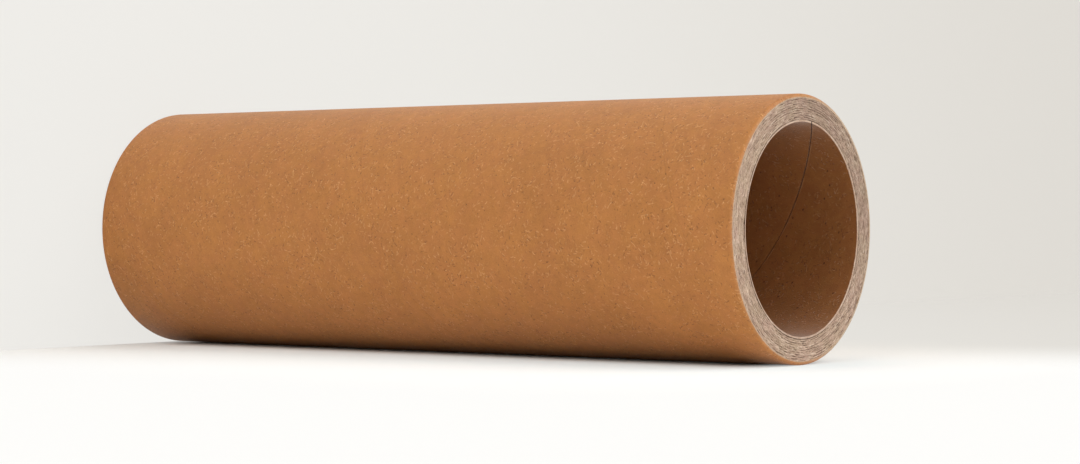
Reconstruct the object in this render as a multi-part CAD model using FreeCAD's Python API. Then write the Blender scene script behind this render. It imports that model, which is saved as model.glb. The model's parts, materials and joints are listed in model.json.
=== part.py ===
"""Spiral-wound cardboard core: a thick paper tube that film, paper, tape or cloth is rolled on.

The tube is glued up from strips of board that wind round a mandrel side by side, as a screw
thread does. Three layers differ in material and can be told apart at the cut ends:

- inner_liner, one ply of smooth kraft board, whose edges leave an open helical seam in the bore
- board_body, grey plies glued into one solid wall, whose joints show at both cut ends
- outer_wrap, a thin kraft cover, butted edge to edge and pressed over the corners by the knife

Millimetres. The core stands on its end: the origin is the centre of the foot, +Z runs up the
axis, and angles are counted from +X towards +Y.
"""
import FreeCAD
import Part
import math
import os

# ---- driving dimensions ------------------------------------------------------------------
CORE_LENGTH = 305.0         # cut length, from end to end
BORE_DIAMETER = 76.0        # takes the usual 3 inch chuck
LINER_THICKNESS = 0.7       # inner kraft ply
PLY_THICKNESS = 0.8         # each grey ply of the wall
PLY_COUNT = 11              # grey plies in the wall
WRAP_THICKNESS = 0.5        # kraft cover

STRIP_WIDTH = 120.0         # width of the strip that the inner liner is wound from
LINER_SEAM_GAP = 0.3        # open joint between two turns of the liner, square to the seam
WRAP_SEAM_GAP = 0.12        # the cover's joint is butted nearly shut
LINER_SEAM_ANGLE = 101.0    # where the liner's seam meets the foot, in degrees
WRAP_SEAM_ANGLE = 250.0     # where the cover's seam meets the foot, in degrees

CORNER_RADIUS = 1.2         # outer corner of each cut end, which the knife has rounded
CURL_LAND = 0.3             # the cover lies flat on the cut face for this far past the corner
BORE_EDGE_BREAK = 0.15      # small bevel on the liner's cut edge
LINER_SETBACK = 0.1         # the knife leaves the hard liner a hair below the soft board
OPEN_JOINT_STEP = 3         # the knife opens every third joint between grey plies
JOINT_WIDTH = 0.16          # an opened joint, at the cut face
JOINT_DEPTH = 0.3
LINER_JOINT_WIDTH = 0.25    # the joint behind the liner opens wider and deeper
LINER_JOINT_DEPTH = 0.4

# ---- what follows from them --------------------------------------------------------------
BORE_R = BORE_DIAMETER / 2
BODY_IN_R = BORE_R + LINER_THICKNESS
BODY_OUT_R = BODY_IN_R + PLY_COUNT * PLY_THICKNESS
CORE_R = BODY_OUT_R + WRAP_THICKNESS
CORNER_R = CORE_R - CORNER_RADIUS       # where the cut face starts to round off
CURL_END_R = CORNER_R - CURL_LAND       # the cover's turned-in edge stops here, on the cut face

# Every ply advances by the same lead, which the liner's strip sets: its width fills one turn.
BORE_GIRTH = 2 * math.pi * BORE_R
LEAD = BORE_GIRTH * math.tan(math.asin(STRIP_WIDTH / BORE_GIRTH))

AXIS = FreeCAD.Vector(0, 0, 1)
ORIGIN = FreeCAD.Vector(0, 0, 0)
FULL_TURN = 360.0
CUT_MARGIN = 0.5            # how far a seam's cutter reaches past the skin that it cuts


def at(radius, height):
    """Point of a section in the XZ half-plane."""
    return FreeCAD.Vector(radius, 0, height)


def line(start, end):
    return Part.LineSegment(start, end).toShape()


def polyline(points):
    return [line(a, b) for a, b in zip(points, points[1:])]


def revolved(edges):
    """Solid of revolution about the core's axis, from the edges of a closed section."""
    face = Part.Face(Part.Wire(Part.__sortEdges__(edges)))
    return face.revolve(ORIGIN, AXIS, FULL_TURN)


def mirrored(points):
    """The same points at the other end of the core, in reverse order, so that a section goes on."""
    return [at(p.x, CORE_LENGTH - p.z) for p in reversed(points)]


def seat_points():
    """Where board and cover meet at the foot: a rebate for the turned-in edge, then a bevel."""
    return [
        at(CURL_END_R, 0),
        at(CURL_END_R, WRAP_THICKNESS),
        at(CORNER_R, WRAP_THICKNESS),
        at(BODY_OUT_R, CORNER_RADIUS),
    ]


def seam_cutter(inner_r, outer_r, gap, foot_angle):
    """Helical bar that opens a seam: it winds with the lead and passes the foot at foot_angle."""
    middle_r = (inner_r + outer_r) / 2
    rise = math.atan(LEAD / (2 * math.pi * middle_r))
    half_height = gap / math.cos(rise) / 2
    overrun = LEAD / 4
    helix = Part.makeLongHelix(LEAD, CORE_LENGTH + 2 * overrun, middle_r, 0, False)
    corners = [
        at(inner_r, -half_height),
        at(outer_r, -half_height),
        at(outer_r, half_height),
        at(inner_r, half_height),
    ]
    section = Part.makePolygon(corners + corners[:1])
    bar = Part.Wire(helix).makePipeShell([section], True, True)
    bar.translate(FreeCAD.Vector(0, 0, -overrun))
    bar.rotate(ORIGIN, AXIS, foot_angle - FULL_TURN * overrun / LEAD)
    return bar


def inner_liner():
    """Kraft ply that lines the bore: a tube with bevelled lips, slit along its helical seam."""
    foot = [
        at(BORE_R, LINER_SETBACK + BORE_EDGE_BREAK),
        at(BORE_R + BORE_EDGE_BREAK, LINER_SETBACK),
        at(BODY_IN_R, LINER_SETBACK),
    ]
    section = foot + mirrored(foot)
    cutter = seam_cutter(BORE_R - CUT_MARGIN, BODY_IN_R + CUT_MARGIN, LINER_SEAM_GAP, LINER_SEAM_ANGLE)
    return revolved(polyline(section + section[:1])).cut(cutter)


def board_body():
    """Grey wall of glued plies: both cut faces show the opened joints and the cover's seat."""
    foot = [at(BODY_IN_R, LINER_JOINT_DEPTH), at(BODY_IN_R + LINER_JOINT_WIDTH, 0)]
    for joint in range(1, PLY_COUNT - 1, OPEN_JOINT_STEP):
        joint_r = BODY_IN_R + joint * PLY_THICKNESS
        foot.append(at(joint_r - JOINT_WIDTH / 2, 0))
        foot.append(at(joint_r, JOINT_DEPTH))
        foot.append(at(joint_r + JOINT_WIDTH / 2, 0))
    foot += seat_points()
    section = foot + mirrored(foot)
    return revolved(polyline(section + section[:1]))


def rounded_corner(side, face):
    """Quarter round of the cover's outer corner, between its side and the cut face."""
    reach = math.sin(math.radians(FULL_TURN / 8))
    middle = at(face.x + (side.x - face.x) * reach, side.z + (face.z - side.z) * reach)
    return Part.Arc(side, middle, face).toShape()


def outer_wrap():
    """Kraft cover that turns in over both corners to a cut edge, with its butted helical seam.

    Its outside is one strip, so the facets that the slit leaves on it are joined into one.
    """
    foot_face, foot_side = at(CORNER_R, 0), at(CORE_R, CORNER_RADIUS)
    head_side, head_face = mirrored([foot_face, foot_side])
    inside = [foot_face] + seat_points()
    edges = polyline(inside + mirrored(inside))
    edges.append(rounded_corner(foot_side, foot_face))
    edges.append(line(foot_side, head_side))
    edges.append(rounded_corner(head_side, head_face))
    deepest = CURL_END_R - CUT_MARGIN
    cutter = seam_cutter(deepest, CORE_R + CUT_MARGIN, WRAP_SEAM_GAP, WRAP_SEAM_ANGLE)
    return revolved(edges).cut(cutter).removeSplitter()


def main():
    os.makedirs("parts", exist_ok=True)
    for make in (inner_liner, board_body, outer_wrap):
        shape = make()
        solid = shape.Solids[0] if len(shape.Solids) == 1 else shape
        solid.exportStep("parts/%s.step" % make.__name__)
        print("%-12s solids %d faces %3d volume %9.1f valid %s" % (
            make.__name__, len(shape.Solids), len(shape.Faces), shape.Volume, shape.isValid()))
    print("outer diameter %.1f, wall %.1f, lead %.2f" % (2 * CORE_R, CORE_R - BORE_R, LEAD))


main()
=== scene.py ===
# %% [markdown]
# A cardboard core is a thick paper tube, wound in a spiral from glued strips of board, that film,
# paper or tape is later rolled on. Its CAD model has three layers: a kraft liner in the bore, a
# wall of grey plies, and a kraft cover. This lesson finishes each layer round that fixed frame.
# The paper is laid out flat, as it comes off the reel, cut along its seams and then wound on.

# %% Load the frame
import json
import math

import bmesh
import bpy
import numpy as np
from mathutils import Matrix, Vector, noise


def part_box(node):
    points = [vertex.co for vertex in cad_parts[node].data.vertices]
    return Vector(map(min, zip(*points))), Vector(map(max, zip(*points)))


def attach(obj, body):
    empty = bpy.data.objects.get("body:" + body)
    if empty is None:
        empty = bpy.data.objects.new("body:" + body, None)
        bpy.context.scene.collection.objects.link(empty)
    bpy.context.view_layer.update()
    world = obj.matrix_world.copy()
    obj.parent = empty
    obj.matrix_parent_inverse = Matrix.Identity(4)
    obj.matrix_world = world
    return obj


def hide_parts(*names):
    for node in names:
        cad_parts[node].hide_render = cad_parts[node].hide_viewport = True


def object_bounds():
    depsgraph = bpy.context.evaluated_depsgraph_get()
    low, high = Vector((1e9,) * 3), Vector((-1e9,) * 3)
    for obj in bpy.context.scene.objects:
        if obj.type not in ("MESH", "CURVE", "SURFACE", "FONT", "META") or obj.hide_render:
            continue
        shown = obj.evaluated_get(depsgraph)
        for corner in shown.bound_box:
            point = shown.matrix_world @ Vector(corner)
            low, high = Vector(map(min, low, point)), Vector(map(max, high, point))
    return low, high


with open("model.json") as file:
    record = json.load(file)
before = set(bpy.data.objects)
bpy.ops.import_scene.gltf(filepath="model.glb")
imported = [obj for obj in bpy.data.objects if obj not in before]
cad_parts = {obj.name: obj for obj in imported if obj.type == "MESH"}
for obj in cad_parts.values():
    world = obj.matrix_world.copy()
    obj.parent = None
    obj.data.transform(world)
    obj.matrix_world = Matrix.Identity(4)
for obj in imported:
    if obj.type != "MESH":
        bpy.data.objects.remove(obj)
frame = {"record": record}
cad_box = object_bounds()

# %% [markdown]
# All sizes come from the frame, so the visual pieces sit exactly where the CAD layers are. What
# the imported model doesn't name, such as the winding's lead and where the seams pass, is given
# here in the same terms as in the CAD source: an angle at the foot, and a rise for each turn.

MM = 0.001
TURN = 2 * math.pi

CORE_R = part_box("outer_wrap")[1].x
BOARD_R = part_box("board_body")[1].x
LINER_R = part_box("inner_liner")[1].x
BORE_R = frame["record"]["mounts"][0]["dims"]["r_mm"] * MM
HEAD_Z = cad_box[1].z
LINER_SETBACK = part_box("inner_liner")[0].z
LEAD = 138.80 * MM  # every strip climbs this much in a turn
LINER_SEAM_FOOT = 101.0  # degrees from +X at which a seam would meet the foot
COVER_SEAM_FOOT = 250.0
PLY = 0.8 * MM
CORNER_RADIUS = 1.2 * MM
COVER_EDGE_R = 46.5 * MM  # the cover's turned-in edge, on the cut face
print(f"core {2 * CORE_R / MM:.1f} mm across, {HEAD_Z / MM:.1f} mm long, "
      f"wall {(CORE_R - BORE_R) / MM:.1f} mm, bore {2 * BORE_R / MM:.1f} mm")

# %% [markdown]
# The camera looks at the core as it lies on its side, so in the core's own frame the camera is
# turned a quarter turn: its up is -X. It looks a little down into the open end at the head.
# A long lens keeps the far end from looking much smaller than the near one.

# %% Camera
scene = bpy.context.scene
CAMERA_PLACE = Vector((-0.00365, -0.78229, 0.77510))
CAMERA_RIGHT = Vector((0.0, 0.59985, 0.80011))
CAMERA_UP = Vector((-1.0, 0.00403, -0.00302))
CAMERA_LENS, SENSOR_WIDTH = 85.70, 36.0  # millimetres, as a camera's always are


def in_scene(name, data):
    """A new object in the scene, from a mesh, a lamp or a camera."""
    made = bpy.data.objects.new(name, data)
    scene.collection.objects.link(made)
    return made


def place_camera():
    """A camera whose right and up are given as two axes of the core's frame."""
    data = bpy.data.cameras.new("camera")
    data.lens, data.sensor_width = CAMERA_LENS, SENSOR_WIDTH
    camera = in_scene("camera", data)
    right = CAMERA_RIGHT.normalized()
    back = right.cross(CAMERA_UP).normalized()
    up = back.cross(right)
    turn = Matrix((right, up, back)).transposed()
    camera.matrix_world = Matrix.Translation(CAMERA_PLACE) @ turn.to_4x4()
    scene.camera = camera
    return camera


print("camera at", [round(c, 3) for c in place_camera().location])

# %% [markdown]
# Materials and geometry trees are both made of nodes, and both do sums. One small class wraps a
# socket, so that a sum is written as a plain Python expression, and one class adds nodes to a
# tree. Because the two kinds of tree share the maths nodes, a pattern can be written once and
# used for a relief in a geometry tree and for a colour in a material.

# %% Node maths as expressions
SEED_STEP = 3.7  # how far apart two noises of different seeds are taken


def by(operation, flip=False):
    """An operator for the class below."""
    return lambda wire, other: wire.do(operation, other, flip)


class Wire:
    """The output of a node. Sums of wires and numbers add maths nodes to the same tree."""

    def __init__(self, tree, socket):
        self.tree, self.socket = tree, socket

    def do(self, operation, other=0.0, flip=False):
        """This wire and another through one maths node, of vectors if either has three parts."""
        first, second = (other, self) if flip else (self, other)
        on_vectors = any(isinstance(w, Wire) and w.socket.type in ("VECTOR", "RGBA")
                         for w in (first, second))
        kind = "ShaderNodeVectorMath" if on_vectors else "ShaderNodeMath"
        return self.tree.node(kind, {0: first, 1: second}, operation=operation)

    __add__, __radd__ = by("ADD"), by("ADD", flip=True)
    __sub__, __rsub__ = by("SUBTRACT"), by("SUBTRACT", flip=True)
    __mul__, __truediv__ = by("MULTIPLY"), by("DIVIDE")
    __gt__, __lt__ = by("GREATER_THAN"), by("LESS_THAN")

    def length(self):
        return self.do("LENGTH")

    def parts(self):
        """The three numbers of a vector."""
        split = self.tree.add("ShaderNodeSeparateXYZ", {0: self})
        return [Wire(self.tree, s) for s in split.outputs]

    def rise(self, low, high):
        """0 below low, 1 above high, and smooth between."""
        return self.tree.node("ShaderNodeMapRange", {
            "Value": self, "From Min": low, "From Max": high}, interpolation_type="SMOOTHSTEP")

    def fall(self, low, high):
        """1 below low, 0 above high."""
        return 1 - self.rise(low, high)


print("wires ready")

# %% [markdown]
# The second class adds a node with what goes into it and its settings, all in one call. The two
# patterns used most, noise and a mix of colours, have calls of their own.

# %% Adding nodes to a tree


class Tree:
    """Adds nodes to a shader tree or a geometry tree."""

    def __init__(self, nodes_of):
        self.of = nodes_of

    def add(self, kind, values=None, **settings):
        """One node, with what its sockets hold or are linked to, and its settings."""
        made = self.of.nodes.new(kind)
        for name, value in settings.items():
            setattr(made, name, value)
        for key, value in (values or {}).items():
            named = (s for s in made.inputs if s.enabled and s.name == key)
            self.feed(made.inputs[key] if isinstance(key, int) else next(named), value)
        return made

    def node(self, kind, values=None, out=None, **settings):
        """One node, of which one output goes on as a wire."""
        made = self.add(kind, values, **settings)
        found = [s for s in made.outputs if s.enabled and out in (None, s.name)]
        return Wire(self, found[0])

    def feed(self, socket, value):
        if isinstance(value, Wire):
            self.of.links.new(value.socket, socket)
        elif socket.type == "RGBA":
            socket.default_value = (*value, 1.0)
        elif socket.type == "VECTOR" and isinstance(value, (int, float)):
            socket.default_value = (value, value, value)
        else:
            socket.default_value = value

    def vector(self, x=0.0, y=0.0, z=0.0):
        return self.node("ShaderNodeCombineXYZ", {"X": x, "Y": y, "Z": z})

    def noise(self, where, grain, detail=2.0, roughness=0.5, seed=0):
        """Smooth noise from 0 to 1 whose features are about one grain wide."""
        shift = seed * SEED_STEP
        spot = where * (1 / grain) + (shift, -shift, shift / 2)
        return self.node("ShaderNodeTexNoise", {
            "Vector": spot, "Scale": 1.0, "Detail": detail, "Roughness": roughness}, out="Fac")

    def blend(self, share, first, second, way="MIX"):
        """Two colours mixed by share, or multiplied."""
        return self.node("ShaderNodeMix", {"Factor": share, "A": first, "B": second},
                         data_type="RGBA", blend_type=way)


def new_material(name):
    """An empty material, and the tree that its nodes go into."""
    material = bpy.data.materials.new(name)
    material.use_nodes = True
    material.node_tree.nodes.clear()
    return material, Tree(material.node_tree)


print("trees ready")

# %% [markdown]
# The stage is a pale floor that the core stands on, and a pale wall that touches its side. The
# camera is turned with the core, so in the picture that wall is the table it lies on. It bounces
# light onto the underside and darkens where they touch. Right by the core it is dark for light
# alone: painted contact shade, so that the underside gets less bounced light. Light Path shows the
# camera both surfaces in colours of their own, with a little glow away from the core, so that the
# backdrop is even with no extra light on the core. The wall has no back: a camera behind it sees
# through it.

# %% Floor and wall
PAPER_WHITE = (0.98, 0.975, 0.955)
PALE_GREY = (0.855, 0.845, 0.812)
FAR_GREY = (0.735, 0.71, 0.664)
STAGE_ALBEDO = (0.88, 0.87, 0.85)
CONTACT_SHADE_ALBEDO = (0.05, 0.05, 0.05)  # for light only, right by the core: painted contact shade, so little bounces onto the underside
SHADOW_WHITE = (0.90, 0.96, 0.97)  # evens out the brown that the core casts about it
SEEN_GAIN = 1.1  # how much brighter than its colour the camera sees the stage
TABLE_DEPTH = 0.968  # from the camera, where the white table gives way to grey
TABLE_BLEND = 0.095  # and for how far before and beyond
LOOK_ALONG = Vector((0.0, 0.8, -0.6))
GREY_REACH = (-0.2, 0.9)  # from the picture's left to its right, where it is darkest
RIGHTWARD_Z = 1.35  # how much z counts for y in going to the right
CONTACT_INSET = 25 * MM  # the line that touches is taken to stop this far inside each end
BEYOND_WEIGHT = 1.5
# How far from the line that the core touches the painted contact shade reaches.
CONTACT_SHADE_REACH = (8 * MM, 36 * MM)
SHADOW_REACH = (30 * MM, 100 * MM)
NEAR_GLOW, NEAR_GLOW_REACH = 0.45, (12 * MM, 40 * MM)
FAR_GLOW, FAR_GLOW_REACH = 0.49, (50 * MM, 200 * MM)
FLOOR_GLOW = 0.9  # the same everywhere, so that the backdrop is even


def plane(name, corners):
    """A flat stage piece with the corners as its only vertices."""
    mesh = bpy.data.meshes.new(name)
    mesh.from_pydata(corners, [], [(0, 1, 2, 3)])
    made = in_scene(name, mesh)
    return made


def near_core(tree, place):
    """Distance along the stage from the line that the core touches, a little in from its ends."""
    _, y, z = place.parts()
    beyond = (z - HEAD_Z / 2).do("ABSOLUTE") - (HEAD_Z / 2 - CONTACT_INSET)
    return tree.vector(y, beyond.do("MAXIMUM", 0.0) * BEYOND_WEIGHT).length()


def stage_material(name, colour_of, glow_of, one_sided=False):
    """Matt and pale for light, but dark by the core as painted contact shade; for the camera, its
    own colour with a share of glow.
    """
    material, tree = new_material(name)
    camera_ray, glossy_ray, through_ray = (
        tree.node("ShaderNodeLightPath", out=f"Is {kind} Ray")
        for kind in ("Camera", "Glossy", "Transmission"))
    seen = camera_ray + glossy_ray + through_ray
    place = tree.node("ShaderNodeTexCoord", out="Object")
    colour = colour_of(tree, place)
    # Painted contact shade: by the core the stage is dark for light only, so less bounces onto the
    # underside.
    away = near_core(tree, place).rise(*CONTACT_SHADE_REACH)
    bounced = tree.blend(away, CONTACT_SHADE_ALBEDO, STAGE_ALBEDO)
    shown = tree.blend(seen, bounced, colour * SEEN_GAIN)
    matt = tree.node("ShaderNodeBsdfDiffuse", {"Color": shown})
    lit = tree.node("ShaderNodeEmission", {"Color": colour})
    share = seen * glow_of(tree, place)
    surface = tree.node("ShaderNodeMixShader", {0: share, 1: matt, 2: lit})
    if one_sided:
        behind = tree.node("ShaderNodeNewGeometry", out="Backfacing")
        clear = tree.node("ShaderNodeBsdfTransparent")
        surface = tree.node("ShaderNodeMixShader", {0: behind * camera_ray, 1: surface, 2: clear})
    tree.add("ShaderNodeOutputMaterial", {"Surface": surface})
    return material


def table_colour(tree, place):
    """White near the camera, and grey beyond the table's depth."""
    depth = place.do("DOT_PRODUCT", LOOK_ALONG) - CAMERA_PLACE.dot(LOOK_ALONG)
    far = depth.rise(TABLE_DEPTH - TABLE_BLEND, TABLE_DEPTH + TABLE_BLEND)
    white = tree.blend(near_core(tree, place).rise(*SHADOW_REACH), SHADOW_WHITE, PAPER_WHITE)
    return tree.blend(far, white, floor_colour(tree, place))


def table_glow(tree, place):
    """No glow by the line that the core touches, so that its shadow is a real one."""
    away = near_core(tree, place)
    return away.rise(*NEAR_GLOW_REACH) * NEAR_GLOW + away.rise(*FAR_GLOW_REACH) * FAR_GLOW


def floor_colour(tree, place):
    """Pale grey, a little darker to the right of the picture, on the floor and on the far table."""
    _, y, z = place.parts()
    return tree.blend((y + z * RIGHTWARD_Z).rise(*GREY_REACH), PALE_GREY, FAR_GREY)


print("stage materials ready")

# %% [markdown]
# Both surfaces reach far past what the camera sees, so that the backdrop has no edge.

# %% Laying the stage
FAR = 4.0
floor = plane("floor", [(-FAR, -FAR, 0), (FAR, -FAR, 0), (FAR, FAR, 0), (-FAR, FAR, 0)])
wall = plane("wall", [(CORE_R, -FAR, 0), (CORE_R, FAR, 0), (CORE_R, FAR, FAR), (CORE_R, -FAR, FAR)])
wall.data.flip_normals()
floor.data.materials.append(stage_material("floor_paper", floor_colour, lambda *_: FLOOR_GLOW))
wall.data.materials.append(stage_material("table_paper", table_colour, table_glow, one_sided=True))
print("wall normal", [round(n, 2) for n in wall.data.polygons[0].normal])

# %% [markdown]
# The light is a pale world and large soft lamps above the lying core: a key beyond the open end
# that reaches the cut face and the table before it, one behind, whose grazing light pales the
# top, and one on the camera's side. A low fill looks into the bore. A last, very weak lamp lights
# the side that touches the wall, for views from behind: the wall casts no shadow from it.

# %% Lights
LAMP_COLOUR = (1.0, 0.985, 0.96)
WORLD_LIGHT, WORLD_COLOUR = 0.45, (1.0, 0.99, 0.975)
MIDDLE = Vector((0.0, 0.0, HEAD_Z / 2))
LAMPS = (  # name, place, width and watts
    ("key", (-0.95, 0.5, 1.35), 1.3, 13.4),
    ("top", (-1.4, 0.3, 0.2), 1.2, 2.8),
    ("side", (-1.1, -1.0, 0.15), 1.0, 4.7),
    ("fill", (-0.1, -0.9, 1.3), 0.8, 2.9),
    ("behind", (1.3, 0.3, 0.6), 0.9, 0.1),
)


def soft_light(name, place, size, power):
    """A square area light, turned to the core's middle, that the camera doesn't see."""
    data = bpy.data.lights.new(name, "AREA")
    data.shape, data.size, data.energy, data.color = "SQUARE", size, power, LAMP_COLOUR
    lamp = in_scene(name, data)
    lamp.location = place
    lamp.rotation_mode = "QUATERNION"
    lamp.rotation_quaternion = (MIDDLE - Vector(place)).to_track_quat("-Z", "Y")
    lamp.visible_camera = False
    return lamp


lamps = {lamp[0]: soft_light(*lamp) for lamp in LAMPS}
blockers = bpy.data.collections.new("casts_shadow_from_behind")
scene.collection.children.link(blockers)
blockers.objects.link(floor)
lamps["behind"].light_linking.blocker_collection = blockers


def light_world():
    """Pale light from all round. The camera sees the backdrop's grey where the floor ends."""
    scene.world = bpy.data.worlds.new("pale_room")
    scene.world.use_nodes = True
    scene.world.node_tree.nodes.clear()
    tree = Tree(scene.world.node_tree)
    room = tree.node("ShaderNodeBackground", {"Color": WORLD_COLOUR, "Strength": WORLD_LIGHT})
    seen = tree.node("ShaderNodeBackground", {"Color": PALE_GREY})
    camera_ray = tree.node("ShaderNodeLightPath", out="Is Camera Ray")
    both = tree.node("ShaderNodeMixShader", {0: camera_ray, 1: room, 2: seen})
    tree.add("ShaderNodeOutputWorld", {"Surface": both})


light_world()
scene.view_settings.view_transform = "Standard"
print("lights:", *lamps)

# %% [markdown]
# Paper comes off its reel flat. A layer is laid out flat here too: its length runs round the core
# and its height along the core, with the two ends already folded over where the knife turned
# them in. Straight cuts across that flat sheet become the helical seams once it is wound on, so
# each strip between two cuts is a true strip of paper. Its pattern follows the strip's own
# directions, and breaks only where the real one does, at the seam.

# %% A flat sheet, cut along its seams
STRIP_MAP = "strip"
TINY = 1e-7


class Sheet:
    """A layer of paper laid out flat: x runs round the core, y is the length along its section."""

    def __init__(self, girth, columns, rows, seam_height, gap, lip):
        self.girth, self.gap, self.lip = girth, gap, lip
        self.seam_height = seam_height  # where the first seam starts, at x = 0
        along = Vector((girth, LEAD)).normalized()
        self.along, self.across = along, Vector((-along.y, along.x))
        self.pitch = LEAD * self.across.y  # a strip's width, from seam to seam
        self.mesh = bmesh.new()
        self.lay_grid(columns, rows)
        self.cut_seams(rows[-1])

    def lay_grid(self, columns, rows):
        lines = [[self.mesh.verts.new((self.girth * i / columns, y, 0)) for y in rows]
                 for i in range(columns + 1)]
        for left, right in zip(lines, lines[1:]):
            for j in range(len(rows) - 1):
                self.mesh.faces.new((left[j], right[j], right[j + 1], left[j + 1]))

    def strips_from(self, point):
        """How far a flat point is from the first seam line, in strip widths."""
        return (point.x * self.across.x + (point.y - self.seam_height) * self.across.y) / self.pitch

    def cut_seams(self, top):
        """Straight cuts at both edges of every seam and at both lips, and the gap taken out."""
        half = self.gap / 2
        turns = [self.strips_from(Vector((x, y))) for x in (0, self.girth) for y in (0, top)]
        for turn in range(math.floor(min(turns)), math.ceil(max(turns)) + 1):
            for offset in (-half - self.lip, -half, half, half + self.lip):
                at = self.seam_height + (turn * self.pitch + offset) / self.across.y
                whole = self.mesh.verts[:] + self.mesh.edges[:] + self.mesh.faces[:]
                bmesh.ops.bisect_plane(self.mesh, geom=whole, dist=TINY,
                                       plane_co=(0, at, 0), plane_no=(*self.across, 0))
        gone = [f for f in self.mesh.faces
                if self.seam_distance(f.calc_center_median()) < self.gap / 2]
        bmesh.ops.delete(self.mesh, geom=gone, context="FACES")

    def seam_distance(self, point):
        """From a flat point to the middle of the nearest seam."""
        strips = self.strips_from(point)
        return abs(strips - round(strips)) * self.pitch

    def near_seam(self, point):
        """1 at the middle of a seam, and 0 past its lips."""
        return max(0.0, 1 - self.seam_distance(point) / (self.gap / 2 + self.lip))


print("a strip is cut for a lead of", round(LEAD / MM, 1), "mm")

# %% [markdown]
# Winding moves each point of the flat sheet onto the core. A layer has two sides, so the sheet
# is doubled, with a wall along every cut edge, and each side is given its own section: a line of
# (radius, height) points that a flat height is looked up on.

# %% Winding a sheet onto the core
WELD = 0.002 * MM  # points this close are one, as along the line where a turn closes


class Section:
    """A layer's section, as points (radius, height), looked up by the length along it."""

    def __init__(self, points, lengths=None):
        self.points = np.array(points)
        steps = np.hypot(*np.diff(self.points, axis=0).T)
        self.lengths = np.concatenate([[0], np.cumsum(steps)]) if lengths is None else lengths
        self.side = int(np.argmax(np.diff(self.lengths)))  # the long side starts at this point

    def at(self, length):
        return (np.interp(length, self.lengths, self.points[:, 0]),
                np.interp(length, self.lengths, self.points[:, 1]))

    def rows(self, step):
        """Flat heights for a grid's rows: the section's own points, and the long side in steps."""
        before, after = self.lengths[:self.side + 1], self.lengths[self.side + 1:]
        return np.concatenate([before[:-1], stepped(before[-1], after[0], step), after[1:]])

    def seam_start(self, foot_angle):
        """Flat height where a seam starts, so that on the side it climbs as the CAD seam does."""
        return self.lengths[self.side] - self.points[self.side, 1] - LEAD * foot_angle / 360


def wound_object(name, sheet, outer, inner, outward, sink):
    """The sheet as a closed wall between two sections. sink(point) lowers the seen side."""
    flat = sheet.mesh
    uv = flat.loops.layers.uv.new(STRIP_MAP)
    for face in flat.faces:
        turn = math.floor(sheet.strips_from(face.calc_center_median()))
        for loop in face.loops:
            spot = Vector((loop.vert.co.x + turn * sheet.girth, loop.vert.co.y))
            loop[uv].uv = (spot.dot(sheet.along), spot.dot(sheet.across))
    seen_verts, seen_faces = flat.verts[:], flat.faces[:]
    back = {v: flat.verts.new(v.co) for v in seen_verts}
    for face in seen_faces:
        twin = flat.faces.new([back[v] for v in reversed(face.verts)])
        for loop, source in zip(twin.loops, reversed(face.loops)):
            loop[uv].uv = source[uv].uv
    for face in seen_faces:
        for loop in face.loops:
            a, b = loop.vert, loop.link_loop_next.vert
            on_border = abs(a.co.x - b.co.x) < TINY and min(a.co.x, sheet.girth - a.co.x) < TINY
            if len(loop.edge.link_faces) == 1 and not on_border:
                wall_face = flat.faces.new((b, a, back[a], back[b]))
                for new, source in zip(wall_face.loops, (b, a, a, b)):
                    new[uv].uv = loop[uv].uv if source is a else loop.link_loop_next[uv].uv
    sides = [(v, outer, sink(v.co)) for v in seen_verts] + [(v, inner, 0.0) for v in back.values()]
    for vert, section, low in sides:
        turn = TURN * vert.co.x / sheet.girth
        radius, height = section.at(vert.co.y)
        radius -= low * outward
        vert.co = (radius * math.cos(turn), radius * math.sin(turn), height)
    bmesh.ops.remove_doubles(flat, verts=flat.verts[:], dist=WELD)
    if outward < 0:
        bmesh.ops.reverse_faces(flat, faces=flat.faces[:])
    return finished(name, flat)


print("points within", WELD / MM, "mm of each other are welded")

# %% [markdown]
# Each piece is smooth but for its sharp edges. It has to be closed, so the edges that don't lie
# between two faces are counted for every piece as it is made.

# %% Finishing a piece
SHARP_EDGE = math.radians(40)


def finished(name, shape):
    """A piece from a bmesh, smooth but for its sharp edges."""
    mesh = bpy.data.meshes.new(name)
    shape.to_mesh(mesh)
    shape.free()
    mesh.shade_smooth()
    mesh.set_sharp_from_angle(angle=SHARP_EDGE)
    return in_scene(name, mesh)


def describe(piece):
    """Prints a piece's faces, its open edges and its volume."""
    shape = bmesh.new()
    shape.from_mesh(piece.data)
    gaps = sum(len(e.link_faces) != 2 for e in shape.edges)
    volume = shape.calc_volume(signed=True) / MM ** 3
    print(f"{piece.name}: {len(shape.faces)} faces, {gaps} open edges, {volume:.0f} mm3")
    shape.free()


def stepped(low, high, step):
    """Evenly spaced values from low to high, about a step apart."""
    return np.linspace(low, high, max(1, round((high - low) / step)) + 1)


print("edges sharper than", round(math.degrees(SHARP_EDGE)), "degrees stay sharp")

# %% [markdown]
# The cover is thin kraft paper. The knife that cuts the core presses it over both corners, so its
# section runs in over the cut face, round a quarter turn, up the side, and in again at the head.
# It is a hair lower at the seam, where two strips are butted edge to edge.

# %% The cover
COVER_THICK = 0.5 * MM
COVER_GAP, COVER_LIP, COVER_DIP = 0.05 * MM, 0.35 * MM, 0.04 * MM
COVER_WANDER, WANDER_LONG = 0.03 * MM, 30 * MM  # how uneven it is along the core
WANDERS_ROUND = 2  # and about how many waves of that go round it
TURNED_IN = 0.15 * MM  # the row of points next to the turned-in edge
FACE_RAGGED = 0.22 * MM  # how unevenly that edge is torn
RAGGED_LONG, RAGGED_DIMENSION, RAGGED_OCTAVES = 1.6 * MM, 0.8, 3
COVER_COLUMNS, COVER_STEP = 480, 6 * MM
ARC_STEPS = 7


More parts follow.
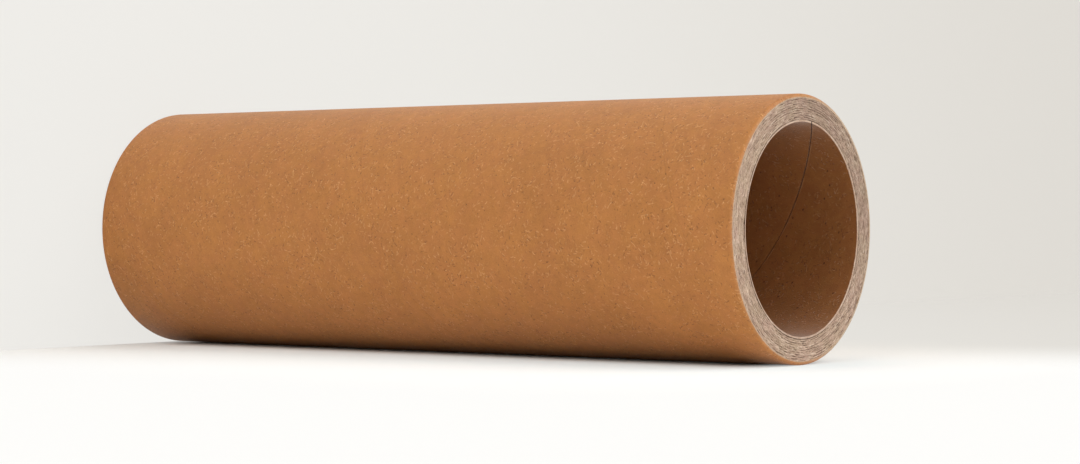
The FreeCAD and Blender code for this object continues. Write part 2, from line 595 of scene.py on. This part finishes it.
def cover_foot(depth):
    """The cover's section at the foot, this deep in it: its turned-in edge, and its corner."""
    centre_r, centre_z, radius = CORE_R - CORNER_RADIUS, CORNER_RADIUS, CORNER_RADIUS - depth
    turns = np.linspace(-TURN / 4, 0, ARC_STEPS + 1)
    corner = [(centre_r + radius * math.cos(t), centre_z + radius * math.sin(t)) for t in turns]
    return [(COVER_EDGE_R, depth), (COVER_EDGE_R + TURNED_IN, depth)] + corner


def both_ends(foot):
    """A section's points at the foot, and the same at the head in reverse."""
    return foot + [(r, HEAD_Z - z) for r, z in reversed(foot)]


cover_outer = Section(both_ends(cover_foot(0)))
cover_inner = Section(both_ends(cover_foot(COVER_THICK)), cover_outer.lengths)
print("cover section", round(cover_outer.lengths[-1] / MM, 2), "mm long")


def make_cover():
    """The cover wound onto the core, its turned-in edges torn a little."""
    girth = TURN * CORE_R
    start = cover_outer.seam_start(COVER_SEAM_FOOT)
    sheet = Sheet(girth, COVER_COLUMNS, cover_outer.rows(COVER_STEP), start, COVER_GAP, COVER_LIP)

    def sink(spot):
        """Lower at the seam, and never quite even."""
        turn = TURN * spot.x / girth
        around = Vector((math.cos(turn), math.sin(turn), 0)) * WANDERS_ROUND
        wave = noise.noise(around + Vector((0, 0, spot.y / WANDER_LONG)))
        return (0.5 + 0.5 * wave) * COVER_WANDER + sheet.near_seam(spot) * COVER_DIP

    piece = wound_object("kraft_cover", sheet, cover_outer, cover_inner, 1, sink)
    for vert in piece.data.vertices:
        x, y, z = vert.co
        radius = math.hypot(x, y)
        if radius < COVER_EDGE_R + TURNED_IN / 3:
            where = Vector((x, y, z)) / RAGGED_LONG
            torn = noise.fractal(where, RAGGED_DIMENSION, 2.0, RAGGED_OCTAVES)
            share = (radius + torn * FACE_RAGGED) / radius
            vert.co.x, vert.co.y = x * share, y * share
    return piece


cover = make_cover()
describe(cover)

# %% [markdown]
# The liner is wound the same way, but its seen side faces the bore, and its strip doesn't quite
# fill a turn: an open joint as wide as a pencil line climbs the bore. The knife leaves a small
# bevel where it breaks through the liner at each end.

# %% The liner
LINER_GAP, LINER_LIP, LINER_DIP = 0.3 * MM, 0.25 * MM, 0.05 * MM
BORE_BREAK = 0.15 * MM
LINER_WALL_R = LINER_R - 0.02 * MM
LINER_COLUMNS, LINER_STEP = 360, 8 * MM


def make_liner():
    """The liner wound into the bore, and the strip map's height at the strip's lower edge."""
    foot_z = LINER_SETBACK
    seen = Section(both_ends([(BORE_R + BORE_BREAK, foot_z), (BORE_R, foot_z + BORE_BREAK)]))
    hidden = Section(both_ends([(LINER_WALL_R, foot_z), (LINER_WALL_R, foot_z + BORE_BREAK)]),
                     seen.lengths)
    start = seen.seam_start(LINER_SEAM_FOOT)
    sheet = Sheet(TURN * BORE_R, LINER_COLUMNS, seen.rows(LINER_STEP), start, LINER_GAP, LINER_LIP)

    def sink(spot):
        """Lower at the seam only."""
        return sheet.near_seam(spot) * LINER_DIP

    low = sheet.seam_height * sheet.across.y
    return wound_object("kraft_liner", sheet, seen, hidden, -1, sink), low


liner, LINER_SEAM_LOW = make_liner()
describe(liner)

# %% [markdown]
# The grey wall only shows at the cut ends, where the knife has torn through eleven plies of
# recycled board. The piece is one closed section turned round the axis, with its cut faces
# closely divided, and a Geometry Nodes tree then carves the faces. It takes the joints between
# the plies, and the tufts that the knife pulled out, from one pattern that the wall's material
# uses too, so what is deep is also dark: the joints in their own dark colour, the hollows in
# painted shade.

# %% The plies' pattern
RING_IN = LINER_R
SEAT_R = COVER_EDGE_R + 0.3 * MM
MIDDLE_R = (RING_IN + SEAT_R) / 2
TUFT_LONG, TUFT_WIDE = 2.6 * MM, 0.20 * MM
FLOCK_LONG, FLOCK_WIDE = 4 * MM, 0.9 * MM
SWAY_LONG, SWAY_WIDE, SWAY = 7 * MM, 3 * MM, 0.7  # how a joint wanders, in plies
JOINT_EDGE = (0.10, 0.46)  # from a joint's middle, as a share of half a ply
OPEN_LONG, OPEN_FROM = 4 * MM, (0.42, 0.56)  # how a joint opens and shuts along itself
BAND_LONG = 14 * MM  # how long a ply keeps its shade


def ply_pattern(tree, place):
    """Wires for a cut face: how far a joint has opened, how pale each ply and its tufts are."""
    x, y, z = place.parts()
    radius = tree.vector(x, y).length()
    way = tree.vector(x / radius, y / radius)
    end = z > HEAD_Z / 2  # moves a noise elsewhere, so that the two ends differ

    def round_noise(long, wide, detail, seed):
        """Noise drawn out along the plies: long round the core, and wide across them."""
        stretched = way * (MIDDLE_R / long) + tree.vector(0, 0, radius / wide)
        return tree.noise(stretched + end * 5.0, 1.0, detail, 0.6, seed)

    def noise_along(long, layer, apart, at_head, seed):
        """Noise along one layer only, and another one along the next."""
        spot = way * (MIDDLE_R / long) + tree.vector(0, 0, layer * apart)
        return tree.noise(spot + end * at_head, 1.0, seed=seed)

    sway = round_noise(SWAY_LONG, SWAY_WIDE, 2.0, 1) - 0.5
    ply = (radius - RING_IN) / PLY + sway * SWAY
    near = (ply.do("PINGPONG", 0.5) * 2).fall(*JOINT_EDGE)
    joint = (ply + 0.5).do("FLOOR")
    opened = noise_along(OPEN_LONG, joint, apart=4.3, at_head=9.0, seed=2).rise(*OPEN_FROM)
    tufts = round_noise(TUFT_LONG, TUFT_WIDE, 3.0, 3)
    flocks = round_noise(FLOCK_LONG, FLOCK_WIDE, 2.0, 4)
    band = noise_along(BAND_LONG, ply.do("FLOOR"), apart=6.1, at_head=3.0, seed=5)
    return near * opened, tufts, flocks + (band - 0.5) * 0.8, radius


print("plies that a cut face shows:", round((SEAT_R - RING_IN) / PLY, 1))

# %% [markdown]
# The wall's section runs across the foot's cut face, down into the seat of the turned-in cover,
# along the outside, and back over the head's cut face. It keeps a hair's breadth off the cover.

# %% The grey wall's section
WALL_COLUMNS, FACE_STEP = 640, 0.13 * MM
HAIR = 0.02 * MM
WALL_OUT_R = BOARD_R - HAIR
SEAT_DEPTH = COVER_THICK + HAIR
SEAT_EDGE_R = COVER_EDGE_R + 0.1 * MM
CUT_Z = HAIR  # the board's face lies just under the plane of the cut


def wall_section():
    """The closed section as (radius, height): the foot's face, the side, the head's, the bore's."""
    face = [(r, CUT_Z) for r in stepped(RING_IN, SEAT_EDGE_R, FACE_STEP)]
    seat = [(SEAT_EDGE_R, SEAT_DEPTH), (SEAT_R, SEAT_DEPTH), (WALL_OUT_R, CORNER_RADIUS)]
    return both_ends(face + seat)


def make_wall():
    """The section turned round the axis, in one closed piece."""
    shape = bmesh.new()
    section = wall_section()
    rings = []
    for i in range(WALL_COLUMNS):
        turn = TURN * i / WALL_COLUMNS
        way_x, way_y = math.cos(turn), math.sin(turn)
        rings.append([shape.verts.new((r * way_x, r * way_y, z)) for r, z in section])
    for here, there in zip(rings, rings[1:] + rings[:1]):
        for j, k in zip(range(len(section)), [*range(1, len(section)), 0]):
            shape.faces.new((here[j], there[j], there[k], here[k]))
    return finished("grey_wall", shape)


wall_board = make_wall()
describe(wall_board)

# %% [markdown]
# A geometry tree works on a mesh as a material works on a surface. Each one here has named inputs
# for its sizes, which are set by the sockets' identifiers before it first runs. What it grows is
# turned into a plain mesh, and the modifier goes.

# %% Geometry trees


class Growth:
    """A Geometry Nodes tree being built: its named inputs, its sums and its result."""

    def __init__(self, name, inputs):
        self.group = bpy.data.node_groups.new(name, "GeometryNodeTree")
        face = self.group.interface
        face.new_socket("Geometry", in_out="INPUT", socket_type="NodeSocketGeometry")
        face.new_socket("Geometry", in_out="OUTPUT", socket_type="NodeSocketGeometry")
        for label, value in inputs.items():
            kind = "NodeSocketInt" if isinstance(value, int) else "NodeSocketFloat"
            face.new_socket(label, in_out="INPUT", socket_type=kind)
        self.inputs = inputs
        self.tree = Tree(self.group)
        self.source = self.tree.add("NodeGroupInput")

    def given(self, label):
        return Wire(self.tree, self.source.outputs[label])

    def result(self, geometry, material):
        """The tree's end: its instances made real, and its material set."""
        real = self.tree.node("GeometryNodeRealizeInstances", {"Geometry": geometry})
        done = self.tree.node("GeometryNodeSetMaterial", {"Geometry": real, "Material": material})
        self.tree.add("NodeGroupOutput", {"Geometry": done})

    def grown(self, carrier, name):
        """The tree run on a carrier's mesh, as a plain mesh of its own."""
        modifier = carrier.modifiers.new(self.group.name, "NODES")
        modifier.node_group = self.group
        for item in self.group.interface.items_tree:
            if item.in_out == "INPUT" and item.name in self.inputs:
                modifier[item.identifier] = self.inputs[item.name]
        bpy.context.view_layer.update()
        seen = carrier.evaluated_get(bpy.context.evaluated_depsgraph_get())
        mesh = bpy.data.meshes.new_from_object(seen)
        carrier.modifiers.remove(modifier)
        mesh.name = name
        return in_scene(name, mesh)


print("geometry helper ready")

# %% [markdown]
# The first tree carves. A joint between two plies is cut deepest, the torn tufts stand proud, and
# the whole face wanders a little, because the knife pushes the soft board before it. The points
# only ever move inwards, so the piece stays inside the CAD box.

# %% Carving the cut faces
HOLLOW = (0.30, 0.66)  # where the tufts' pattern is below this, the board sinks
HELD_WIDE = 0.15 * MM  # beside the liner the board stays where it is


def carve_tree():
    """The tree that carves, and its wire of moved points."""
    growth = Growth("carve_plies", {"Joint depth": 0.32 * MM, "Tuft depth": 0.30 * MM,
                                    "Wander": 0.10 * MM})
    tree = growth.tree
    place = tree.node("GeometryNodeInputPosition")
    joint, tufts, flocks, radius = ply_pattern(tree, place)
    height = place.parts()[2]
    on_head = height > HEAD_Z - 2 * CUT_Z
    on_foot = height < 2 * CUT_Z
    hollow = tufts.fall(*HOLLOW)
    depth = (joint * growth.given("Joint depth") + hollow * growth.given("Tuft depth")
             + flocks * growth.given("Wander"))
    held = radius.rise(RING_IN, RING_IN + HELD_WIDE)
    move = tree.vector(0, 0, depth * held * (on_foot - on_head))
    moved = tree.node("GeometryNodeSetPosition", {
        "Geometry": growth.given("Geometry"), "Offset": move})
    return growth, moved


carving, carved = carve_tree()
print("carving:", len(carving.group.nodes), "nodes")

# %% [markdown]
# Kraft paper is the colour of milky tea because its fibres are never bleached. Close up it is a
# felt of short fibres that lie every way, some pale and some dark, with brown specks of bark, and
# clouds where the pulp settled thicker. The material draws each of these at its own size. A fibre
# is a stroke in the middle of a cell of a Voronoi pattern, and the cell's own random colour turns
# it, bends it and sets how strong it is.

# %% Strokes and specks for paper


def cells(tree, spot, size, seed):
    """Voronoi cells on a flat spot: the way to the cell's middle, and three random numbers."""
    shifted = spot + (seed * 0.137, seed * 0.071, 0.0)
    found = tree.add("ShaderNodeTexVoronoi", {"Vector": shifted, "Scale": 1 / size},
                     voronoi_dimensions="2D")
    away = shifted - Wire(tree, found.outputs["Position"])
    luck = tree.add("ShaderNodeSeparateColor", {"Color": Wire(tree, found.outputs["Color"])})
    return away, [Wire(tree, s) for s in luck.outputs]


def strokes(tree, spot, size, long, wide, seed, share):
    """Short bent fibres, one to a cell, in a share of the cells. 1 on a fibre, 0 off it."""
    away, (first, second, third) = cells(tree, spot, size, seed)
    x, y, _ = away.parts()
    angle = first * TURN
    turn_x, turn_y = angle.do("COSINE"), angle.do("SINE")
    along = x * turn_x + y * turn_y
    bend = (second - 0.5) * (along * along) * (1.2 / long)
    across = (y * turn_x - x * turn_y + bend).do("ABSOLUTE")
    body = across.fall(wide * 0.3, wide)
    tips = along.do("ABSOLUTE").fall(long * 0.3, long * 0.5)
    return body * tips * third.rise(1 - share, 1.0)


def specks(tree, spot, size, wide, seed, share):
    """Round specks, one to a cell, in a share of the cells."""
    away, (first, second, _) = cells(tree, spot, size, seed)
    x, y, _ = away.parts()
    drawn_out = tree.vector(x * 0.8, y * 1.3).length()
    strength = first.rise(1 - share, 1 - share * 0.6) * (0.5 + second * 0.5)
    return drawn_out.fall(wide * 0.5, wide) * strength


print("strokes and specks ready")

# %% [markdown]
# Every surface here is dull, a Principled shader with a high roughness. Only its colour, its
# roughness and its normal change over the surface. Lengths in the pattern are in metres, taken
# from the strip's own map or from the object's coordinates, so a fibre has its real size.

# %% A dull surface
PAPER_IOR = 1.45
SHEEN_ROUGHNESS = 0.35
PAPER_RELIEF, BOARD_RELIEF, TUFT_RELIEF = 0.18 * MM, 0.1 * MM, 0.02 * MM


def matt_surface(tree, colour, roughness, height, relief, sheen=0.0):
    """A dull surface. Its bump follows height, a wire from 0 to 1 that stands for relief metres."""
    normal = tree.node("ShaderNodeBump", {"Strength": 1.0, "Distance": relief, "Height": height})
    skin = tree.node("ShaderNodeBsdfPrincipled", {
        "Base Color": colour, "Roughness": roughness, "Normal": normal, "IOR": PAPER_IOR,
        "Sheen Weight": sheen, "Sheen Roughness": SHEEN_ROUGHNESS})
    tree.add("ShaderNodeOutputMaterial", {"Surface": skin})


print("relief of paper, board and tufts in mm:",
      *(round(r / MM, 2) for r in (PAPER_RELIEF, BOARD_RELIEF, TUFT_RELIEF)))

# %% [markdown]
# A kraft paper is mixed in the order that it is made: pulp first, then the fibres that lie in it
# and the specks of bark, and at last what its edges have been through.

# %% Kraft paper
# Kinds of fibre: the cells' size, a fibre's length and width in millimetres, the share of cells
PALE_FIBRES = ((2.1, 1.7, 0.27, 0.50), (1.3, 0.9, 0.26, 0.40), (5.2, 3.6, 0.20, 0.35))
DARK_FIBRES = ((2.0, 1.5, 0.26, 0.50), (1.4, 0.9, 0.24, 0.35))


def grown_tone(tree, spot, place, seed):
    """Clouds, flocks and grain of the pulp, as one tone about 0.5, and the fine grain alone."""
    clouds = tree.noise(place, 26 * MM, 3.0, 0.55, seed)
    flocks = tree.noise(place, 3.4 * MM, seed=seed + 1)
    grain = tree.noise(place, 0.45 * MM, 3.0, 0.65, seed + 2)
    x, y, _ = spot.parts()
    run = tree.noise(tree.vector(x / (60 * MM), y / (2.2 * MM)), 1.0, seed=seed + 3)
    tone = (0.5 + (clouds - 0.5) * 0.55 + (flocks - 0.5) * 0.55 + (grain - 0.5) * 0.9
            + (run - 0.5) * 0.22)
    return tone, grain


def felt(tree, spot, kinds, seed):
    """Fibres of several kinds, added up."""
    return sum(strokes(tree, spot, size * MM, long * MM, wide * MM, seed + number, share)
               for number, (size, long, wide, share) in enumerate(kinds))


def kraft_material(name, tones, speck, rough, sheen, seed, finish_edge):
    """Unbleached paper: tone between dark and pale, fibres of both kinds, and specks of bark."""
    dark, pale, rosy, fibre_pale, fibre_dark, bark = tones
    material, tree = new_material(name)
    place = tree.node("ShaderNodeTexCoord", out="Object")
    spot = tree.node("ShaderNodeUVMap", uv_map=STRIP_MAP)
    tone, grain = grown_tone(tree, spot, place, seed)
    crowd = tree.noise(place, 7 * MM, 2.0, 0.6, seed + 7).rise(0.36, 0.60) * 0.75 + 0.25
    pale_strokes = felt(tree, spot, PALE_FIBRES, seed) * crowd
    dark_strokes = felt(tree, spot, DARK_FIBRES, seed + len(PALE_FIBRES)) * crowd
    flecks = specks(tree, spot, *speck, seed + 5, 0.5)
    blush = tree.noise(place, 8 * MM, 2.0, 0.6, seed + 6).rise(0.38, 0.62)
    colour = tree.blend(tone, dark, pale)
    colour = tree.blend(blush * 0.5, colour, tree.blend(1.0, colour, rosy, "MULTIPLY"))
    colour = tree.blend(dark_strokes * 0.70, colour, fibre_dark)
    colour = tree.blend(pale_strokes * 0.50, colour, fibre_pale)
    colour = tree.blend(flecks * 0.8, colour, bark)
    colour = finish_edge(tree, colour, place, spot, grain)
    height = grain * 0.4 + pale_strokes * 0.6 - dark_strokes * 0.4
    matt_surface(tree, colour, rough + grain * 0.16, height, PAPER_RELIEF, sheen)
    return material


print("kinds of fibre:", len(PALE_FIBRES), "pale and", len(DARK_FIBRES), "dark")

# %% [markdown]
# Paper looks different where it ends. The cover is scuffed where the knife pressed it over the
# corner, and the liner shows its pale inside where it is cut, and a dark line of painted shade
# beside the real gap of its seam.

# %% The papers' edges
COVER_SCUFF = ((0.34, 0.245, 0.17), (0.72, 0.57, 0.42))
LINER_CUT = ((0.42, 0.29, 0.21), (0.74, 0.56, 0.43))
# The seam's dark colour is painted shade beside its gap.
SEAM_SCUFF, SEAM_SHADE = (0.52, 0.29, 0.15), (0.06, 0.022, 0.008)


def end_place(tree, place):
    """Wires for a point's distance from the nearer end, its radius, and its way to the right."""
    x, y, z = place.parts()
    radius = tree.vector(x, y).length()
    return HEAD_Z / 2 - (z - HEAD_Z / 2).do("ABSOLUTE"), radius, y / radius


def cover_edge(tree, colour, place, spot, grain):
    """Where the cover is pressed over the corner it is scuffed pale, most on one side."""
    from_end, radius, rightward = end_place(tree, place)
    ragged = (tree.noise(place, 1.1 * MM, 3.0, 0.6, 70) - 0.5) * (0.9 * MM)
    near_face = (from_end + ragged).fall(0.0, 0.55 * MM)
    torn = (radius + ragged * 0.6).fall(COVER_EDGE_R + 0.1 * MM, COVER_EDGE_R + 0.6 * MM)
    share = near_face * (torn * 0.85).do("MAXIMUM", 0.08 + rightward.rise(-0.1, 0.6) * 0.9)
    return tree.blend(share, colour, tree.blend(grain, *COVER_SCUFF))


def liner_edge(tree, colour, place, spot, grain):
    """Pale where it is cut across at the ends, a scuffed pale line along its seam, and painted
    shade beside the seam's gap.
    """
    from_end = end_place(tree, place)[0]
    ragged = (tree.noise(place, 0.8 * MM, 3.0, 0.6, 72) - 0.5) * (0.5 * MM)
    cut = (from_end + ragged).fall(LINER_SETBACK + 0.12 * MM, LINER_SETBACK + 0.30 * MM)
    cut = cut * (0.65 + tree.noise(place, 3 * MM, seed=73).rise(0.35, 0.60) * 0.35)
    colour = tree.blend(cut, colour, tree.blend(grain, *LINER_CUT))
    across = spot.parts()[1] - LINER_SEAM_LOW
    scuffed = tree.noise(place, 5 * MM, seed=71).rise(0.35, 0.6)
    beside = across.fall(0.5 * MM, 0.9 * MM) * scuffed
    colour = tree.blend(beside * (1 - cut) * 0.35, colour, SEAM_SCUFF)
    # Painted shade: a dark line beside the seam's gap, which widens its real shade.
    return tree.blend(across.fall(0.15 * MM, 0.40 * MM) * (1 - cut) * 0.7, colour, SEAM_SHADE)


print("edges ready")

# %% [markdown]
# Grey board is made of waste paper, so it has no colour of its own. Torn across, it is a dull
# brown grey with pale tufts, hollows darkened with painted shade, and a dark line where a joint
# has opened.

# %% Torn grey board
BOARD_PLAIN = ((0.53, 0.39, 0.28), (0.52, 0.355, 0.275))
# The hollows' colour is painted shade.
BOARD_HOLLOW_SHADE, BOARD_TUFT = (0.17, 0.105, 0.07), (0.84, 0.69, 0.56)
# The second colour here is painted shade, for one side of the cut faces.
BOARD_JOINT, BOARD_SIDE_SHADE = (0.12, 0.068, 0.043), (0.16, 0.11, 0.085)
BEHIND_LINER, GLUED_BOARD = (0.10, 0.055, 0.030), (0.030, 0.014, 0.007)


def board_colour(tree, joint, tufts, flocks, grain, tint):
    """Grey recycled board, torn across: pale tufts, hollows in painted shade and opened joints."""
    plain = tree.blend(tint.rise(0.3, 0.7), *BOARD_PLAIN)
    tone = 0.5 + (tufts - 0.5) * 2.0 + (flocks - 0.5) * 1.0 + (grain - 0.5) * 1.2
    # Painted shade: the hollows that the carving sinks are darkened.
    colour = tree.blend(tone.fall(-0.1, 0.45) * 0.65, plain, BOARD_HOLLOW_SHADE)
    colour = tree.blend(tone.rise(0.55, 1.0) * 0.8, colour, BOARD_TUFT)
    return tree.blend(joint * 0.9, colour, BOARD_JOINT)


def board_material():
    """The wall's finish: torn board on the cut faces, and glue-brown away from them."""
    material, tree = new_material("grey_board_cut")
    place = tree.node("ShaderNodeTexCoord", out="Object")
    joint, tufts, flocks, radius = ply_pattern(tree, place)
    grain = tree.noise(place, 0.3 * MM, 3.0, 0.65, 11)
    tint = tree.noise(place, 7 * MM, seed=12)
    colour = board_colour(tree, joint, tufts, flocks, grain, tint)
    x, y, _ = place.parts()
    shaded_side = ((y - x) / radius).rise(-0.6, 1.3)  # painted shade: darker towards the upper right, as the light falls
    colour = tree.blend(shaded_side * 0.30, colour, BOARD_SIDE_SHADE)
    from_end = end_place(tree, place)[0]
    from_liner = radius - RING_IN + (tufts - 0.5) * (0.3 * MM)
    parted = tree.noise(place, 9 * MM, seed=14).rise(0.36, 0.55) * 0.7 + 0.2
    beside_liner = from_liner.fall(0.22 * MM, 0.40 * MM)
    colour = tree.blend(beside_liner * parted, colour, BEHIND_LINER)
    colour = tree.blend(from_end > 1.0 * MM, colour, GLUED_BOARD)
    matt_surface(tree, colour, 0.85 + grain * 0.1, grain * 0.5 + tufts * 0.5, BOARD_RELIEF)
    return material


print("board ready")

# %% [markdown]
# Each layer is given its material. The wall's faces are carved now, since the tree that carves
# them ends by setting the board's material.

# %% Finishes on the layers
# Each paper's dark, pale and rosy tones, then its pale fibres, dark fibres and bark
COVER_TONES = ((0.35, 0.130, 0.026), (0.605, 0.245, 0.055), (1.0, 0.95, 1.12),
               (0.80, 0.45, 0.18), (0.21, 0.068, 0.013), (0.05, 0.020, 0.010))
LINER_TONES = ((0.225, 0.086, 0.023), (0.41, 0.170, 0.050), (1.0, 0.92, 1.0),
               (0.48, 0.25, 0.11), (0.12, 0.040, 0.012), (0.020, 0.008, 0.004))
cover_paper = kraft_material("cover_kraft_paper", COVER_TONES, speck=(5.5 * MM, 0.32 * MM),
                             rough=0.44, sheen=0.0, seed=20, finish_edge=cover_edge)
liner_paper = kraft_material("liner_kraft_paper", LINER_TONES, speck=(6.5 * MM, 0.50 * MM),
                             rough=0.36, sheen=0.40, seed=40, finish_edge=liner_edge)
cut_board = board_material()
cover.data.materials.append(cover_paper)
liner.data.materials.append(liner_paper)
wall_board.data.materials.append(cut_board)

carving.result(carved, cut_board)
grey_wall = carving.grown(wall_board, "grey_board_wall")
bpy.data.objects.remove(wall_board)
describe(grey_wall)

# %% [markdown]
# A knife doesn't cut recycled board cleanly: it pulls out short strands of fibre, which lie about
# on the cut. They are too many to model one by one, so a Geometry Nodes tree strews them. A
# strand is a bent curve with a thin three-sided skin. The tree puts copies on random points of
# the two cut faces, spins and sizes each at random, gives it a shade of its own, and at last
# presses what stands proud back to the plane of the cut.

# %% Tufts on the cut faces
SPIN, SIZES = 0.4, (0.35, 1.25)  # radians that a strand turns from its ply, and its size
ON_CUT, FACING = 1.2 * MM, 0.25  # only this near an end, and only where the board faces it
TUFT_SHADES = ((0.20, 0.125, 0.085), (0.48, 0.345, 0.255), (0.84, 0.68, 0.54))


def tuft_tree():
    """The tree that strews the strands, and its wire of strands pressed flat."""
    growth = Growth("cut_tufts", {"Seed": 5, "Per square metre": 0.9e6, "Length": 1.3 * MM,
                                  "Thickness": 0.045 * MM, "Lift": 0.14 * MM})
    tree, given = growth.tree, growth.given
    place = tree.node("GeometryNodeInputPosition")
    from_end, radius, _ = end_place(tree, place)
    facing = tree.node("GeometryNodeInputNormal").parts()[2].do("ABSOLUTE")
    on_cut = (from_end < ON_CUT) * (facing > FACING) * (radius > RING_IN + 0.05 * MM)
    points = tree.node("GeometryNodeDistributePointsOnFaces", {
        "Mesh": given("Geometry"), "Selection": on_cut * (radius < COVER_EDGE_R + 0.15 * MM),
        "Density": given("Per square metre"), "Seed": given("Seed")}, out="Points")

    def luck(number, low, high):
        """A random value for each point, from a seed of its own."""
        return tree.node("FunctionNodeRandomValue", {
            "Min": low, "Max": high, "Seed": given("Seed") + number})

    points = tree.node("GeometryNodeStoreNamedAttribute", {
        "Geometry": points, "Name": "shade", "Value": luck(1, 0.0, 1.0)})
    x, y, z = place.parts()
    upward = tree.vector(0, 0, (z - HEAD_Z / 2).do("SIGN"))
    stance = tree.node("FunctionNodeAlignRotationToVector", {"Vector": upward}, axis="Z")
    stance = tree.node("FunctionNodeAlignRotationToVector", {
        "Rotation": stance, "Vector": tree.vector(y * -1, x, 0)}, axis="X", pivot_axis="Z")
    spin = tree.vector(0, 0, luck(2, -SPIN, SPIN))
    stance = tree.node("FunctionNodeRotateRotation", {"Rotation": stance, "Rotate By": spin},
                       rotation_space="LOCAL")
    strands = tree.node("GeometryNodeInstanceOnPoints", {
        "Points": points, "Instance": strand(tree, given), "Rotation": stance,
        "Scale": luck(3, *SIZES)})
    return growth, pressed(tree, strands)


def strand(tree, given):
    """A bent curve with a thin closed skin."""
    half, lift = given("Length") * 0.5, given("Lift")
    bow = tree.node("GeometryNodeCurveQuadraticBezier", {
        "Resolution": 3, "Start": tree.vector(half * -1, 0, lift * -0.4),
        "Middle": tree.vector(0, half * 0.6, lift * 1.5), "End": tree.vector(half, 0, lift * 0.3)})
    ring = tree.node("GeometryNodeCurvePrimitiveCircle", {
        "Resolution": 3, "Radius": given("Thickness")})
    return tree.node("GeometryNodeCurveToMesh", {
        "Curve": bow, "Profile Curve": ring, "Fill Caps": True})


def pressed(tree, strands):
    """Real strands, with what stands above either end pressed back to it."""
    real = tree.node("GeometryNodeRealizeInstances", {"Geometry": strands})
    x, y, z = tree.node("GeometryNodeInputPosition").parts()
    held = tree.vector(x, y, z.do("MAXIMUM", 0.0).do("MINIMUM", HEAD_Z))
    return tree.node("GeometryNodeSetPosition", {"Geometry": real, "Position": held})


def tuft_material():
    """A strand is one shade, from the brown of hollows to the cream of bleached waste paper."""
    material, tree = new_material("tuft_fibre")
    shade = tree.node("ShaderNodeAttribute", out="Fac", attribute_name="shade")
    place = tree.node("ShaderNodeTexCoord", out="Object")
    grain = tree.noise(place, 0.3 * MM, seed=13)
    brown, grey, cream = TUFT_SHADES
    colour = tree.blend(shade.rise(0.0, 0.6), brown, grey)
    colour = tree.blend(shade.rise(0.5, 1.0), colour, cream)
    matt_surface(tree, colour, 0.80 + grain * 0.1, grain, TUFT_RELIEF)
    return material


strewing, strewn = tuft_tree()
strewing.result(strewn, tuft_material())
cut_tufts = strewing.grown(grey_wall, "cut_tufts")
describe(cut_tufts)

# %% [markdown]
# Each visible piece rides on the part's one body, and stands for a layer of the CAD model.

# %% Riding on the frame
for piece, node, slot in ((cover, "outer_wrap", "cover_kraft"),
                          (liner, "inner_liner", "liner_kraft"),
                          (grey_wall, "board_body", "grey_board")):
    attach(piece, "root")
    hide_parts(node)
    print(piece.name, "stands for", node)
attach(cut_tufts, "root")
